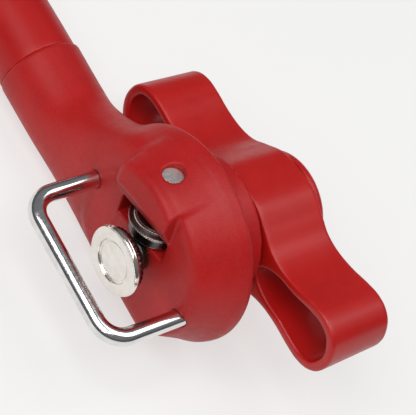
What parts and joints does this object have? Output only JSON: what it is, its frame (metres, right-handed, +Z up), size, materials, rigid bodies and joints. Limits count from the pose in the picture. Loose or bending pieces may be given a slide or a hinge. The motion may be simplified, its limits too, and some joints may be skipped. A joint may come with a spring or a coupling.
{
  "type": "manual can opener",
  "caption": "Side-cutting manual can opener with straight handle, round head, wire guide, cutter wheel, feed wheel and looped turning knob.",
  "frame": {"origin": "bottom centre of the bounding box, on the surface that the straight underside lies on", "axes": "+X along the drive shaft towards the chrome disc, +Y along the handle towards the head, +Z up from the underside towards the cutter ledge"},
  "size_m": [0.0628, 0.2, 0.0445],
  "materials": {
    "head_red": "fine grained",
    "grip_red": "smooth",
    "knob_red": "satin",
    "inner_plastic": "moulded",
    "polished_steel": "polished",
    "nickel": "nickel plated",
    "dark_steel": "hardened, dark",
    "plain_steel": "ground",
    "spring_steel": "drawn wire",
    "bronze": "sintered"
  },
  "bodies": {
    "head": {"head_shell": "head_red", "back_cover": "head_red", "cover_screws": "plain_steel", "handle_core": "inner_plastic", "grip_sleeve": "grip_red", "end_cap": "grip_red", "wire_guide": "polished_steel", "cutter_axle": "plain_steel", "upper_washer": "plain_steel", "lower_washer": "plain_steel", "front_bush": "bronze", "rear_bush": "bronze", "return_spring": "spring_steel"},
    "cutter": {"cutting_wheel": "dark_steel"},
    "roller": {"support_roller": "dark_steel"},
    "cam": {"cam_ring": "inner_plastic"},
    "carrier": {"carrier_sleeve": "plain_steel"},
    "drive": {"drive_shaft": "plain_steel", "shaft_clip": "spring_steel", "feed_wheel": "dark_steel", "feed_hub": "dark_steel", "cap_disc": "nickel", "disc_rivet": "nickel", "knob": "knob_red", "knob_screw": "plain_steel", "knob_cap": "knob_red"}
  },
  "joints": [
    {"name": "cutter_spin", "type": "hinge", "parent": "head", "child": "cutter", "pos_m": [0.00748, 0.05611, 0.02919], "axis": [0.064, -0.2617, 0.963], "continuous": true},
    {"name": "roller_spin", "type": "hinge", "parent": "head", "child": "roller", "pos_m": [0.00724, 0.05711, 0.02553], "axis": [0.064, -0.2617, 0.963], "continuous": true},
    {"name": "cam_turn", "type": "hinge", "parent": "head", "child": "cam", "pos_m": [-0.00215, 0.05998, 0.0204], "axis": [1, 0, 0], "range_deg": [0, 80]},
    {"name": "clamp_slide", "type": "slide", "parent": "head", "child": "carrier", "axis": [1, 0, 0], "range_m": [0, 0.0012], "deforming": ["return_spring"]},
    {"name": "knob_turn", "type": "hinge", "parent": "carrier", "child": "drive", "pos_m": [-0.00815, 0.05998, 0.0204], "axis": [1, 0, 0], "continuous": true}
  ],
  "couplings": [
    {"joint": "cam_turn", "follows": "clamp_slide", "rad_per_m": 1163.6}
  ]
}
